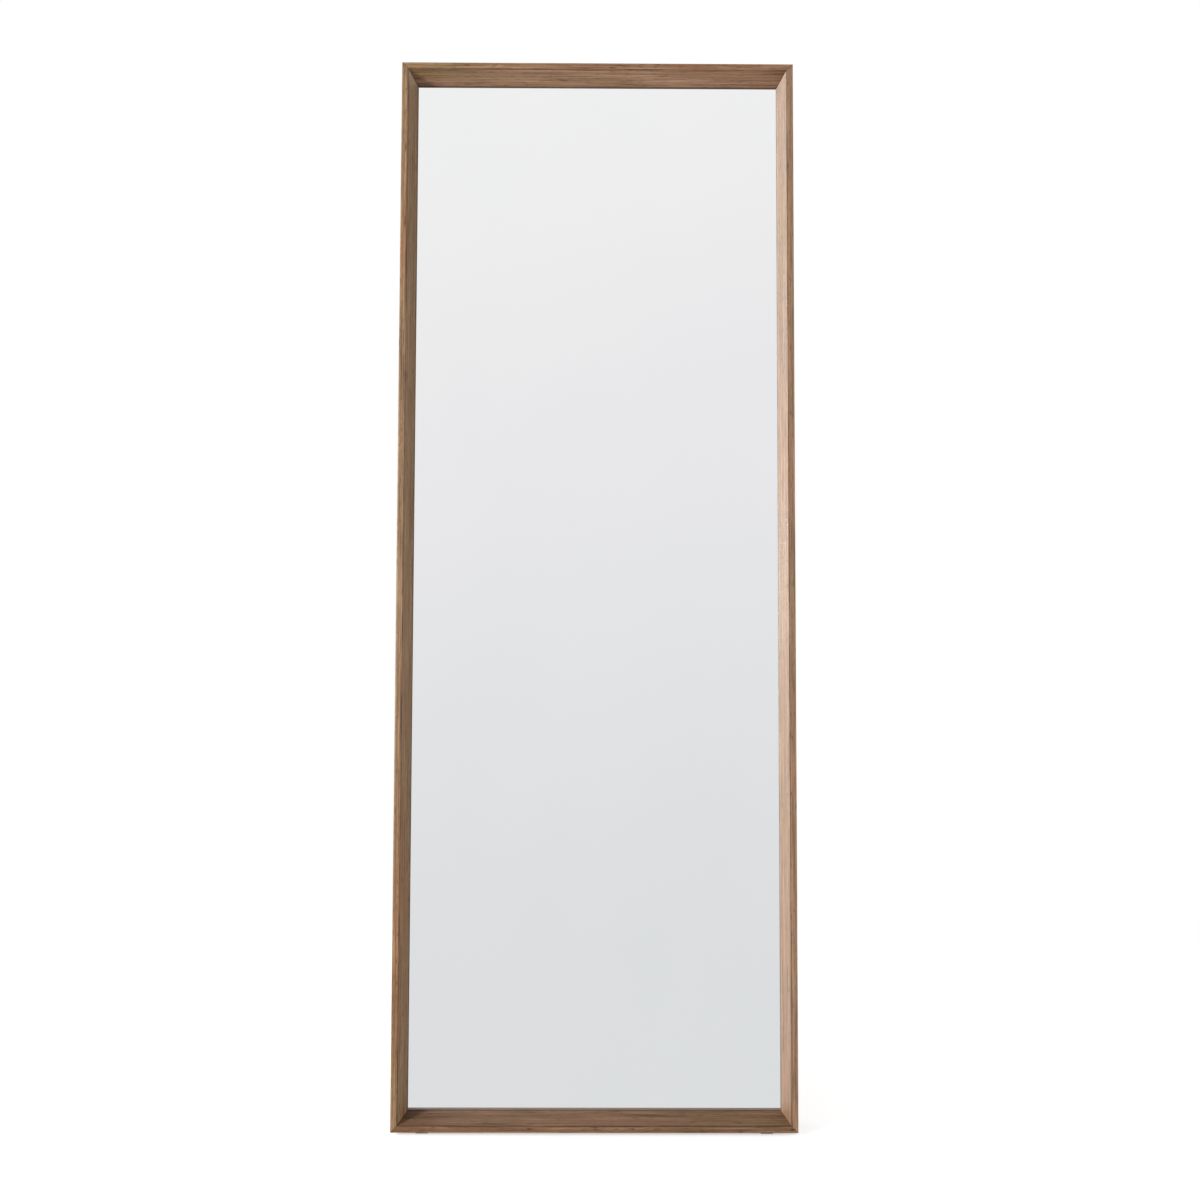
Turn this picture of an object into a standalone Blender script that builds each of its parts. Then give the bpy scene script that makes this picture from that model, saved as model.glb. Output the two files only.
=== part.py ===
"""A full-length floor mirror in a deep mitred wooden box frame, held up by a hinged stand behind it.

The mirror is drawn upright in its own board frame: X to the viewer's right, Y from the front face
towards the back, Z up the board from its bottom edge. The stand is drawn folded flat, in a frame whose
origin is on its hinge pin. Two empties then lean the board back and swing the stand open.
"""

import math

import bmesh
import bpy
from mathutils import Matrix, Vector

MM = 0.001

# Frame members: sizes over all, and the section's own sizes
FRAME_WIDTH = 600 * MM
FRAME_HEIGHT = 1610 * MM
FRAME_DEPTH = 68 * MM
FACE_WIDTH = 10.5 * MM
REVEAL_DEPTH = 49 * MM
REVEAL_SPLAY = 10 * MM
REBATE_WALL = 12 * MM
OUTER_ARRIS = 1.6 * MM
INNER_ARRIS = 0.7 * MM
LIP_ARRIS = 0.5 * MM
BACK_ARRIS = 1.0 * MM

# Stance: how far the board leans back, how far the stand opens from it, and the front edge's height
LEAN = math.radians(3.1)
OPENING = math.radians(16)
FRONT_EDGE_HEIGHT = 5.5 * MM

# Clearances between pieces that rest on each other, and round the glass
GAP = 0.3 * MM
GLASS_SIDE_ROOM = 2 * MM

# Glass and what holds it in the rebate
GLASS_THICKNESS = 4 * MM
GLASS_EDGE = 0.4 * MM
CUSHION_THICKNESS = 2 * MM
BACKBOARD_THICKNESS = 3 * MM
BACKBOARD_EDGE = 0.3 * MM
FILLET_SIZE = 8 * MM
THIN_STRIP_EDGE = 0.5 * MM

# Loose splines across the mitres
SPLINE_ACROSS = 8 * MM
SPLINE_THICKNESS = 4 * MM
SPLINE_LENGTH = 36 * MM
SPLINE_FRONT = 8 * MM
SPLINE_INSET = 7.5 * MM

# Rails across the back
STRAP_RAIL_HEIGHT = 45 * MM
STRAP_RAIL_Z = 800 * MM
STRAP_RAIL_HOUSING = 8.5 * MM
HINGE_RAIL_HEIGHT = 60 * MM
HINGE_RAIL_THICKNESS = 18 * MM
HINGE_RAIL_SIDE_INSET = 1.5 * MM
RAIL_SCREW_INSET = 6.5 * MM
RAIL_SCREW_SPREAD = 16 * MM
HINGE_Z = 1085 * MM

# Stand: leg section and spacing, and its rails, measured down from the hinge pin
STAND_THICKNESS = HINGE_RAIL_THICKNESS
LEG_WIDTH = 34 * MM
LEG_X = 190 * MM
STAND_TOP_DROP = 1.5 * MM
TOP_RAIL_HEIGHT = 60 * MM
MID_RAIL_HEIGHT = 40 * MM
MID_RAIL_DROP = 333 * MM
LOW_RAIL_HEIGHT = 40 * MM
LOW_RAIL_DROP = 900 * MM
TENON_LENGTH = 12 * MM
TENON_SHOULDER = 5 * MM
STAND_EDGE = 1.5 * MM
FOOT_PAD_THICKNESS = 5 * MM
FOOT_PAD_INSET = 1 * MM
FOOT_PAD_CORNER = 2 * MM

# Butt hinges
HINGE_X = 115 * MM
HINGE_WIDTH = 64 * MM
LEAF_HEIGHT = 30 * MM
LEAF_THICKNESS = 1.6 * MM
LEAF_ROOT = 4.2 * MM
LEAF_CORNER = 3 * MM
KNUCKLE_RADIUS = 3.6 * MM
KNUCKLES = 5
KNUCKLE_SPACE = 0.4 * MM
KNUCKLE_OVERLAP = 1.5 * MM
PIN_RADIUS = 1.5 * MM
PIN_HEAD_RADIUS = 2.8 * MM
PIN_HEAD_LENGTH = 1.5 * MM
PIN_HEAD_WALL = 0.9 * MM
PIN_HEAD_TOP_RADIUS = 1.96 * MM
LEAF_SCREW_X = 20 * MM
LEAF_SCREW_Z = 19 * MM

# Webbing strap and its clamp plates
STRAP_WIDTH = 30 * MM
STRAP_THICKNESS = 1.4 * MM
STRAP_TAB = 22 * MM
STRAP_BEND = 4 * MM
PLATE_WIDTH = 36 * MM
PLATE_HEIGHT = 18 * MM
PLATE_THICKNESS = 2 * MM
PLATE_CORNER = 3 * MM
PLATE_SCREW_X = 10 * MM

# Glides under the bottom rail
GLIDE_X = 255 * MM
GLIDE_WIDTH = 26 * MM
GLIDE_FRONT = 15 * MM
GLIDE_LENGTH = 40 * MM
GLIDE_CORNER = 4 * MM
GLIDE_HEAD_RECESS = 0.8 * MM

# Screws: shank radius, head radius, length
RAIL_SCREW = (2.0 * MM, 4.0 * MM, 40 * MM)
STRAP_RAIL_SCREW = (1.5 * MM, 3.0 * MM, 25 * MM)
LEAF_SCREW = (1.6 * MM, 3.2 * MM, 15 * MM)
PLATE_SCREW = (1.4 * MM, 2.8 * MM, 9 * MM)
GLIDE_SCREW = (1.5 * MM, 3.0 * MM, 14 * MM)
SCREW_SIDES = 12
HEAD_EDGE = 0.4 * MM
HOLE_OPENING = 3 * MM
RECESS_ARM = 0.62
RECESS_WIDTH = 0.9 * MM
RECESS_DEPTH = 1.1 * MM

ROUND_SIDES = 20
ARC_STEPS = 3
SMOOTH_BELOW = math.radians(35)

# Worked out from the above, in the board frame
HALF_WIDTH = FRAME_WIDTH / 2
REBATE_HALF = HALF_WIDTH - REBATE_WALL
GLASS_Y = REVEAL_DEPTH + GAP
CUSHION_Y = GLASS_Y + GLASS_THICKNESS + GAP
BACKBOARD_Y = CUSHION_Y + CUSHION_THICKNESS + GAP
FILLET_Y = BACKBOARD_Y + BACKBOARD_THICKNESS + GAP
STRAP_RAIL_BACK = FRAME_DEPTH - GAP
STAND_FRONT = FRAME_DEPTH + GAP
STAND_BACK = STAND_FRONT + STAND_THICKNESS
PIN_Y = STAND_BACK + GAP + KNUCKLE_RADIUS
STRAP_Y = STRAP_RAIL_BACK + GAP + STRAP_THICKNESS / 2

# Worked out in the stand frame
LEG_FRONT = STAND_FRONT - PIN_Y
LEG_BACK = STAND_BACK - PIN_Y
STRAP_STAND_Y = LEG_FRONT - GAP - STRAP_THICKNESS / 2
LEAF_FRONT = -KNUCKLE_RADIUS
LEAF_BACK = LEAF_FRONT + LEAF_THICKNESS

# Finishes: name, colour, roughness, metallic
WOOD = ("frame_wood", (0.34, 0.19, 0.105), 0.55, 0.0)
STAND_WOOD = ("stand_wood", (0.36, 0.21, 0.12), 0.6, 0.0)
PLAIN_WOOD = ("plain_wood", (0.55, 0.40, 0.24), 0.7, 0.0)
HARDBOARD = ("hardboard", (0.26, 0.15, 0.08), 0.75, 0.0)
CARD = ("card", (0.50, 0.38, 0.25), 0.9, 0.0)
MIRROR = ("mirror_glass", (0.90, 0.91, 0.91), 0.02, 1.0)
STEEL = ("hinge_steel", (0.62, 0.60, 0.56), 0.35, 1.0)
SCREW_METAL = ("screw_metal", (0.66, 0.62, 0.50), 0.35, 1.0)
RUBBER = ("rubber", (0.03, 0.03, 0.03), 0.85, 0.0)
WEBBING = ("webbing", (0.05, 0.045, 0.04), 0.9, 0.0)

# Screw matrices: a screw is drawn with its head's top at the origin and its point down -Z
TO_BACK = Matrix.Rotation(math.radians(-90), 4, "X")
TO_FRONT = Matrix.Rotation(math.radians(90), 4, "X")
TO_FLOOR = Matrix.Rotation(math.radians(180), 4, "X")

# Hinge pins: the turn that lays a turned shape along X, and the frame centred between the pins
ALONG_X = Matrix.Rotation(math.radians(90), 4, "Y")
PIN_FRAME = Matrix.Translation((0, PIN_Y, HINGE_Z))

SIDES = {"left": -1, "right": 1}
CORNERS = {"bl": (-1, False), "br": (1, False), "tl": (-1, True), "tr": (1, True)}


# ---- making objects and meshes ----

def clear_scene():
    for obj in list(bpy.data.objects):
        bpy.data.objects.remove(obj, do_unlink=True)


def material(finish):
    """The named Principled material, made once and then shared."""
    name, colour, roughness, metallic = finish
    if name in bpy.data.materials:
        return bpy.data.materials[name]
    made = bpy.data.materials.new(name)
    made.use_nodes = True
    made.diffuse_color = (*colour, 1)
    shader = made.node_tree.nodes["Principled BSDF"]
    shader.inputs["Base Color"].default_value = (*colour, 1)
    shader.inputs["Roughness"].default_value = roughness
    shader.inputs["Metallic"].default_value = metallic
    return made


def add_empty(name, location, tilt, parent=None):
    made = bpy.data.objects.new(name, None)
    bpy.context.scene.collection.objects.link(made)
    made.location = location
    made.rotation_euler.x = tilt
    made.parent = parent
    return made


def add_object(name, mesh, finish, parent, matrix=None):
    obj = bpy.data.objects.new(name, mesh)
    bpy.context.scene.collection.objects.link(obj)
    obj.parent = parent
    if matrix:
        obj.matrix_local = matrix
    mesh.materials.clear()
    mesh.materials.append(material(finish))
    return obj


def to_mesh(bm, name):
    bmesh.ops.recalc_face_normals(bm, faces=bm.faces)
    mesh = bpy.data.meshes.new(name)
    bm.to_mesh(mesh)
    bm.free()
    return mesh


def shade(mesh):
    mesh.shade_smooth()
    mesh.set_sharp_from_angle(angle=SMOOTH_BELOW)
    return mesh


def combine(mesh, bm, operation):
    """The mesh after a Boolean with the bmesh: DIFFERENCE cuts it away and UNION joins it on."""
    scene = bpy.context.scene.collection.objects
    base = bpy.data.objects.new("base", mesh)
    tool = bpy.data.objects.new("tool", to_mesh(bm, "tool"))
    scene.link(base)
    scene.link(tool)
    boolean = base.modifiers.new("combine", "BOOLEAN")
    boolean.operation = operation
    boolean.solver = "EXACT"
    boolean.object = tool
    depsgraph = bpy.context.evaluated_depsgraph_get()
    result = bpy.data.meshes.new_from_object(base.evaluated_get(depsgraph))
    result.name = mesh.name
    for used in (base, tool):
        data = used.data
        bpy.data.objects.remove(used)
        bpy.data.meshes.remove(data)
    return result


def add_box(bm, low, high, turn=None):
    """A box between two corners, turned about its own centre by the matrix turn if given."""
    size = Vector(high) - Vector(low)
    centre = (Vector(high) + Vector(low)) / 2
    place = Matrix.Translation(centre) @ (turn or Matrix.Identity(4)) @ Matrix.Diagonal((*size, 1))
    bmesh.ops.create_cube(bm, size=1, matrix=place)


def box_mesh(name, low, high, edge=0.0):
    """A box with all its edges chamfered by edge."""
    bm = bmesh.new()
    add_box(bm, low, high)
    if edge:
        bmesh.ops.bevel(bm, geom=bm.edges[:], offset=edge, segments=1, affect="EDGES")
    return to_mesh(bm, name)


def mirrored_box(x0, x1, y0, y1, z0, z1, sign):
    """Corners of a box on the side given by sign, with x measured outwards."""
    near, far = sorted((sign * x0, sign * x1))
    return (near, y0, z0), (far, y1, z1)


def add_prism(bm, outline, place):
    """A solid between two matching rings: place(point, end) puts an outline point at end 0 or 1."""
    rings = [[bm.verts.new(place(point, end)) for point in outline] for end in (0, 1)]
    for i in range(len(outline)):
        j = (i + 1) % len(outline)
        bm.faces.new((rings[0][i], rings[0][j], rings[1][j], rings[1][i]))
    bm.faces.new(rings[0])
    bm.faces.new(rings[1])


def add_turned(bm, profile, matrix, sides):
    """A solid turned about Z from (radius, z) points, then put in place by the matrix."""
    rings = []
    for radius, z in profile:
        count = sides if radius else 1
        angles = [math.tau * i / sides for i in range(count)]
        points = [Vector((radius * math.cos(a), radius * math.sin(a), z)) for a in angles]
        rings.append([bm.verts.new(matrix @ point) for point in points])
    for lower, upper in zip(rings, rings[1:]):
        for i in range(sides):
            j = (i + 1) % sides
            below = [lower[i % len(lower)], lower[j % len(lower)]]
            above = [upper[j % len(upper)], upper[i % len(upper)]]
            bm.faces.new(list(dict.fromkeys(below + above)))
    for ring in (rings[0], rings[-1]):
        if len(ring) > 1:
            bm.faces.new(ring)


def arc_through(before, corner, after, radius, steps):
    """Points of the arc of the given radius that rounds a corner between its two neighbours."""
    towards, onwards = (before - corner).normalized(), (after - corner).normalized()
    half = towards.angle(onwards) / 2
    centre = corner + (towards + onwards).normalized() * radius / math.sin(half)
    start = corner + towards * radius / math.tan(half) - centre
    sweep = math.pi - 2 * half
    if towards.cross(onwards) > 0:
        sweep = -sweep
    return [centre + Matrix.Rotation(sweep * i / steps, 2) @ start for i in range(steps + 1)]


def eased(corners):
    """A closed outline from (x, y, radius) corners, each with a radius rounded by an arc."""
    points = []
    for i, (x, y, radius) in enumerate(corners):
        here = Vector((x, y))
        if radius:
            before, after = Vector(corners[i - 1][:2]), Vector(corners[(i + 1) % len(corners)][:2])
            points += arc_through(before, here, after, radius, ARC_STEPS)
        else:
            points.append(here)
    return points


# ---- screws ----

def screw_profile(screw):
    shank, head, length = screw
    return [
        (head, 0),
        (head, -HEAD_EDGE),
        (shank, -HEAD_EDGE - head + shank),
        (shank, -length + 2 * shank),
        (0, -length),
    ]


def hole_profile(screw):
    """The hole that a screw sits in, with GAP all round and an open mouth above the head."""
    shank, head, length = screw
    return [
        (head + GAP, HOLE_OPENING),
        (head + GAP, -HEAD_EDGE - GAP / 2),
        (shank + GAP, -HEAD_EDGE - head + shank - GAP / 2),
        (shank + GAP, -length + 2 * shank),
        (0, -length - 2 * GAP),
    ]


def screw_mesh(name, screw):
    """A countersunk wood screw with a cross recess in its head."""
    bm = bmesh.new()
    add_turned(bm, screw_profile(screw), Matrix.Identity(4), SCREW_SIDES)
    arm, half = screw[1] * RECESS_ARM, RECESS_WIDTH / 2
    quarter = [(arm, -half), (arm, half), (half, half)]
    cross = [Matrix.Rotation(math.radians(90 * turn), 2) @ Vector(p) for turn in range(4) for p in quarter]
    recess = bmesh.new()
    add_prism(recess, cross, lambda p, end: (p.x, p.y, RECESS_DEPTH * (2 * end - 1)))
    return shade(combine(to_mesh(bm, name), recess, "DIFFERENCE"))


def bore_for_screws(mesh, screw, places):
    """The mesh with a hole for the screw at each place, a matrix in the mesh's own frame."""
    bm = bmesh.new()
    for place in places:
        add_turned(bm, hole_profile(screw), place, SCREW_SIDES)
    return combine(mesh, bm, "DIFFERENCE")


def add_screws(mesh, places, parent):
    """One object for each named place, all sharing the screw's mesh."""
    for name, place in places.items():
        add_object(name, mesh, SCREW_METAL, parent, place)


def at(x, y, z, facing):
    return Matrix.Translation((x, y, z)) @ facing


# ---- frame members ----

def member_section():
    """A member's section as (distance from the outer side, depth from the front) points."""
    return eased([
        (0, 0, OUTER_ARRIS),
        (FACE_WIDTH, 0, INNER_ARRIS),
        (FACE_WIDTH + REVEAL_SPLAY, REVEAL_DEPTH, LIP_ARRIS),
        (REBATE_WALL, REVEAL_DEPTH, 0),
        (REBATE_WALL, FRAME_DEPTH, 0),
        (0, FRAME_DEPTH, BACK_ARRIS),
    ])


def rail_point(point, end, top):
    """A section point of a level member, at its left (0) or right (1) mitre."""
    inset, depth = point
    across = HALF_WIDTH - inset - GAP / math.sqrt(2)
    return (across * (2 * end - 1), depth, FRAME_HEIGHT - inset if top else inset)


def stile_point(point, end, sign):
    """A section point of an upright member, at its bottom (0) or top (1) mitre."""
    inset, depth = point
    trim = inset + GAP / math.sqrt(2)
    return (sign * (HALF_WIDTH - inset), depth, FRAME_HEIGHT - trim if end else trim)


def add_spline(bm, corner, spare=0.0):
    """The loose spline across one mitre, larger all round by spare for its slot."""
    sign, top = CORNERS[corner]
    z = FRAME_HEIGHT - SPLINE_INSET if top else SPLINE_INSET
    centre = Vector((sign * (HALF_WIDTH - SPLINE_INSET), SPLINE_FRONT + SPLINE_LENGTH / 2, z))
    half = Vector((SPLINE_ACROSS, SPLINE_LENGTH, SPLINE_THICKNESS)) / 2 + Vector((spare,) * 3)
    turn = Matrix.Rotation(math.radians(45) * (sign if top else -sign), 4, "Y")
    add_box(bm, centre - half, centre + half, turn)


def member_mesh(name, place, corners):
    bm = bmesh.new()
    add_prism(bm, member_section(), place)
    slots = bmesh.new()
    for corner in corners:
        add_spline(slots, corner, GAP)
    return combine(to_mesh(bm, name), slots, "DIFFERENCE")


def build_level_members(board):
    for name, top, corners in (("bottom_rail", False, ("bl", "br")), ("top_rail", True, ("tl", "tr"))):
        mesh = member_mesh(name, lambda point, end: rail_point(point, end, top), corners)
        if not top:
            mesh = bore_for_screws(mesh, GLIDE_SCREW, glide_screw_places().values())
        add_object(name, shade(mesh), WOOD, board)


def build_stiles(board):
    """The upright members, housed for the strap rail and bored for both rails' screws."""
    for side, sign in SIDES.items():
        name = f"{side}_stile"
        corners = [corner for corner, (at_side, _) in CORNERS.items() if at_side == sign]
        mesh = member_mesh(name, lambda point, end: stile_point(point, end, sign), corners)
        housing = bmesh.new()
        half = STRAP_RAIL_HEIGHT / 2 + GAP
        low, high = mirrored_box(
            REBATE_HALF - GAP, REBATE_HALF + STRAP_RAIL_HOUSING + GAP,
            FILLET_Y - GAP, FRAME_DEPTH + GAP,
            STRAP_RAIL_Z - half, STRAP_RAIL_Z + half, sign,
        )
        add_box(housing, low, high)
        mesh = combine(mesh, housing, "DIFFERENCE")
        for screw, places in ((STRAP_RAIL_SCREW, strap_rail_places()), (RAIL_SCREW, hinge_rail_places())):
            mesh = bore_for_screws(mesh, screw, [p for key, p in places.items() if side in key])
        add_object(name, shade(mesh), WOOD, board)


def build_splines(board):
    for corner in CORNERS:
        bm = bmesh.new()
        add_spline(bm, corner)
        name = f"corner_spline_{corner}"
        add_object(name, to_mesh(bm, name), PLAIN_WOOD, board)


# ---- glass, backboard and fillets ----

def build_glazing(board):
    """Mirror glass, cushion sheet and backboard, stacked in the rebate."""
    half = REBATE_HALF - GLASS_SIDE_ROOM
    low = REBATE_WALL + GLASS_SIDE_ROOM
    layers = (
        ("mirror_glass", GLASS_Y, GLASS_THICKNESS, MIRROR, GLASS_EDGE),
        ("cushion_sheet", CUSHION_Y, CUSHION_THICKNESS, CARD, 0),
        ("backboard", BACKBOARD_Y, BACKBOARD_THICKNESS, HARDBOARD, BACKBOARD_EDGE),
    )
    for name, front, thickness, finish, edge in layers:
        corner = (half, front + thickness, FRAME_HEIGHT - low)
        add_object(name, box_mesh(name, (-half, front, low), corner, edge), finish, board)


def build_fillets(board):
    """Square fillets round the rebate. The side ones stop above and below the strap rail."""
    wall = REBATE_HALF - GAP
    low, high = REBATE_WALL + GAP, FRAME_HEIGHT - REBATE_WALL - GAP
    clear = STRAP_RAIL_HEIGHT / 2 + GAP
    back = FILLET_Y + FILLET_SIZE
    boxes = {
        "bottom_fillet": ((-wall, FILLET_Y, low), (wall, back, low + FILLET_SIZE)),
        "top_fillet": ((-wall, FILLET_Y, high - FILLET_SIZE), (wall, back, high)),
    }
    stretches = {
        "lower": (low + FILLET_SIZE + GAP, STRAP_RAIL_Z - clear),
        "upper": (STRAP_RAIL_Z + clear, high - FILLET_SIZE - GAP),
    }
    for side, sign in SIDES.items():
        for level, (z0, z1) in stretches.items():
            corners = mirrored_box(wall - FILLET_SIZE, wall, FILLET_Y, back, z0, z1, sign)
            boxes[f"{side}_{level}_fillet"] = corners
    for name, (corner_low, corner_high) in boxes.items():
        add_object(name, box_mesh(name, corner_low, corner_high, THIN_STRIP_EDGE), PLAIN_WOOD, board)


# ---- rails across the back ----

def strap_rail_places():
    x = REBATE_HALF + STRAP_RAIL_HOUSING / 2
    return {
        f"strap_rail_screw_{side}": at(sign * x, STRAP_RAIL_BACK, STRAP_RAIL_Z, TO_BACK)
        for side, sign in SIDES.items()
    }


def front_plate_places():
    y = STRAP_Y + STRAP_THICKNESS / 2 + GAP + PLATE_THICKNESS
    return {
        f"front_plate_screw_{side}": at(sign * PLATE_SCREW_X, y, STRAP_RAIL_Z, TO_BACK)
        for side, sign in SIDES.items()
    }


def hinge_rail_places():
    x = HALF_WIDTH - RAIL_SCREW_INSET
    middle = HINGE_Z + STAND_TOP_DROP + HINGE_RAIL_HEIGHT / 2
    return {
        f"hinge_rail_screw_{side}_{level}": at(sign * x, STAND_BACK, middle + rise, TO_BACK)
        for side, sign in SIDES.items()
        for level, rise in (("lower", -RAIL_SCREW_SPREAD), ("upper", RAIL_SCREW_SPREAD))
    }


def leaf_screw_places(prefix, hinge_side, direction):
    """The two screws of one leaf, in a frame centred on the hinge pin."""
    x = SIDES[hinge_side] * HINGE_X
    return {
        f"{prefix}_screw_{hinge_side}_{end}": at(
            x + sign * LEAF_SCREW_X, LEAF_BACK, direction * LEAF_SCREW_Z, TO_BACK
        )
        for end, sign in (("a", -1), ("b", 1))
    }


def moved(places, matrix):
    return {name: matrix @ place for name, place in places.items()}


def build_strap_rail(board):
    """The thin rail let flush into both stiles."""
    reach = REBATE_HALF + STRAP_RAIL_HOUSING
    low = (-reach, FILLET_Y, STRAP_RAIL_Z - STRAP_RAIL_HEIGHT / 2)
    high = (reach, STRAP_RAIL_BACK, STRAP_RAIL_Z + STRAP_RAIL_HEIGHT / 2)
    mesh = box_mesh("strap_rail", low, high, THIN_STRIP_EDGE)
    mesh = bore_for_screws(mesh, STRAP_RAIL_SCREW, strap_rail_places().values())
    mesh = bore_for_screws(mesh, PLATE_SCREW, front_plate_places().values())
    add_object("strap_rail", shade(mesh), PLAIN_WOOD, board)
    add_screws(screw_mesh("strap_rail_screw", STRAP_RAIL_SCREW), strap_rail_places(), board)


def build_hinge_rail(board):
    """The thick rail lapped over the backs of both stiles."""
    reach = HALF_WIDTH - HINGE_RAIL_SIDE_INSET
    z0 = HINGE_Z + STAND_TOP_DROP
    corner = (reach, STAND_BACK, z0 + HINGE_RAIL_HEIGHT)
    mesh = box_mesh("hinge_rail", (-reach, STAND_FRONT, z0), corner, STAND_EDGE)
    mesh = bore_for_screws(mesh, RAIL_SCREW, hinge_rail_places().values())
    for side in SIDES:
        places = moved(leaf_screw_places("fixed_leaf", side, 1), PIN_FRAME)
        mesh = bore_for_screws(mesh, LEAF_SCREW, places.values())
    add_object("hinge_rail", shade(mesh), STAND_WOOD, board)
    add_screws(screw_mesh("hinge_rail_screw", RAIL_SCREW), hinge_rail_places(), board)


# ---- hinges ----

def knuckle_spans(first):
    """Start and end along the hinge of every second knuckle, from the first given."""
    pitch = HINGE_WIDTH / KNUCKLES
    for i in range(first, KNUCKLES, 2):
        start = i * pitch - HINGE_WIDTH / 2
        yield start + KNUCKLE_SPACE / 2, start + pitch - KNUCKLE_SPACE / 2


def knuckle_outline(direction):
    """Side view of a rolled knuckle and the root of its leaf, as (y, z) points."""
    root = LEAF_ROOT + KNUCKLE_OVERLAP
    meets = math.acos(-LEAF_BACK / KNUCKLE_RADIUS)
    turn = math.tau - meets
    arc = [math.pi + turn * i / ROUND_SIDES for i in range(ROUND_SIDES + 1)]
    points = [(LEAF_FRONT, root)]
    points += [(KNUCKLE_RADIUS * math.cos(a), KNUCKLE_RADIUS * math.sin(a)) for a in arc]
    points.append((LEAF_BACK, root))
    return [(y, direction * z) for y, z in points]


def leaf_mesh(name, direction, first):
    """A hinge leaf about its own pin, going up (+1) or down (-1) from it."""
    half = HINGE_WIDTH / 2
    near, far = sorted((direction * LEAF_ROOT, direction * LEAF_HEIGHT))
    bm = bmesh.new()
    add_box(bm, (-half, LEAF_FRONT, near), (half, LEAF_BACK, far))
    tips = [
        edge for edge in bm.edges
        if abs(edge.verts[0].co.y - edge.verts[1].co.y) > LEAF_THICKNESS / 2
        and abs(edge.verts[0].co.z) > (LEAF_ROOT + LEAF_HEIGHT) / 2
    ]
    bmesh.ops.bevel(bm, geom=tips, offset=LEAF_CORNER, segments=ARC_STEPS, affect="EDGES")
    mesh = to_mesh(bm, name)
    rolls = bmesh.new()
    for start, end in knuckle_spans(first):
        add_prism(rolls, knuckle_outline(direction), lambda p, e: (end if e else start, *p))
    mesh = combine(mesh, rolls, "UNION")
    bore = bmesh.new()
    bore_radius = PIN_RADIUS + GAP
    add_turned(bore, [(bore_radius, -HINGE_WIDTH), (bore_radius, HINGE_WIDTH)], ALONG_X, ROUND_SIDES)
    return combine(mesh, bore, "DIFFERENCE")


def build_leaves(parent, prefix, direction, first, frame):
    """The left and right leaves on one side of the pins, with their screws."""
    screw = screw_mesh(f"{prefix}_screw", LEAF_SCREW)
    for side, sign in SIDES.items():
        name = f"{side}_{prefix}"
        shift = Matrix.Translation((sign * HINGE_X, 0, 0))
        places = leaf_screw_places(prefix, side, direction)
        mesh = leaf_mesh(name, direction, first)
        mesh = bore_for_screws(mesh, LEAF_SCREW, moved(places, shift.inverted()).values())
        add_object(name, shade(mesh), STEEL, parent, frame @ shift)
        add_screws(screw, moved(places, frame), parent)


def build_pins(board):
    head = HINGE_WIDTH / 2 + GAP
    half = [
        (PIN_RADIUS, head),
        (PIN_HEAD_RADIUS, head),
        (PIN_HEAD_RADIUS, head + PIN_HEAD_WALL),
        (PIN_HEAD_TOP_RADIUS, head + PIN_HEAD_LENGTH),
    ]
    profile = [(radius, -z) for radius, z in reversed(half)] + half
    for side, sign in SIDES.items():
        name = f"{side}_hinge_pin"
        bm = bmesh.new()
        add_turned(bm, profile, ALONG_X, ROUND_SIDES)
        place = PIN_FRAME @ Matrix.Translation((sign * HINGE_X, 0, 0))
        add_object(name, shade(to_mesh(bm, name)), STEEL, board, place)


# ---- glides ----

def floor_in_board(y):
    """Board Z of the floor under a point at depth y."""
    return (y * math.sin(LEAN) - FRONT_EDGE_HEIGHT) / math.cos(LEAN)


def glide_screw_places():
    y = GLIDE_FRONT + GLIDE_LENGTH / 2
    z = floor_in_board(y) + GLIDE_HEAD_RECESS
    return {f"glide_screw_{side}": at(sign * GLIDE_X, y, z, TO_FLOOR) for side, sign in SIDES.items()}


def build_glides(board):
    """Rubber wedges under the bottom rail that stand level on the floor."""
    y0, y1 = GLIDE_FRONT, GLIDE_FRONT + GLIDE_LENGTH
    outline = [(y0, -GAP), (y1, -GAP), (y1, floor_in_board(y1)), (y0, floor_in_board(y0))]
    places = glide_screw_places()
    for side, sign in SIDES.items():
        name = f"{side}_glide"
        centre = sign * GLIDE_X
        bm = bmesh.new()
        add_prism(bm, outline, lambda p, end: (centre + GLIDE_WIDTH * (end - 0.5), *p))
        uprights = [e for e in bm.edges if e.calc_length() < GLIDE_WIDTH / 2]
        bmesh.ops.bevel(bm, geom=uprights, offset=GLIDE_CORNER, segments=ARC_STEPS, affect="EDGES")
        mesh = bore_for_screws(to_mesh(bm, name), GLIDE_SCREW, [places[f"glide_screw_{side}"]])
        add_object(name, shade(mesh), RUBBER, board)
    add_screws(screw_mesh("glide_screw", GLIDE_SCREW), places, board)


# ---- stand ----

def level_in_stand(y, height):
    """Stand-frame Z of the level plane at a height above the floor, at the stand-frame depth y."""
    swing = OPENING - LEAN
    pin_height = FRONT_EDGE_HEIGHT + HINGE_Z * math.cos(LEAN) - PIN_Y * math.sin(LEAN)
    return (height - pin_height - y * math.sin(swing)) / math.cos(swing)


def stand_rails():
    """Each stand rail's name, middle and height, measured in the stand frame."""
    return (
        ("stand_top_rail", -STAND_TOP_DROP - TOP_RAIL_HEIGHT / 2, TOP_RAIL_HEIGHT),
        ("stand_mid_rail", -MID_RAIL_DROP, MID_RAIL_HEIGHT),
        ("stand_low_rail", -LOW_RAIL_DROP, LOW_RAIL_HEIGHT),
    )


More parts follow.
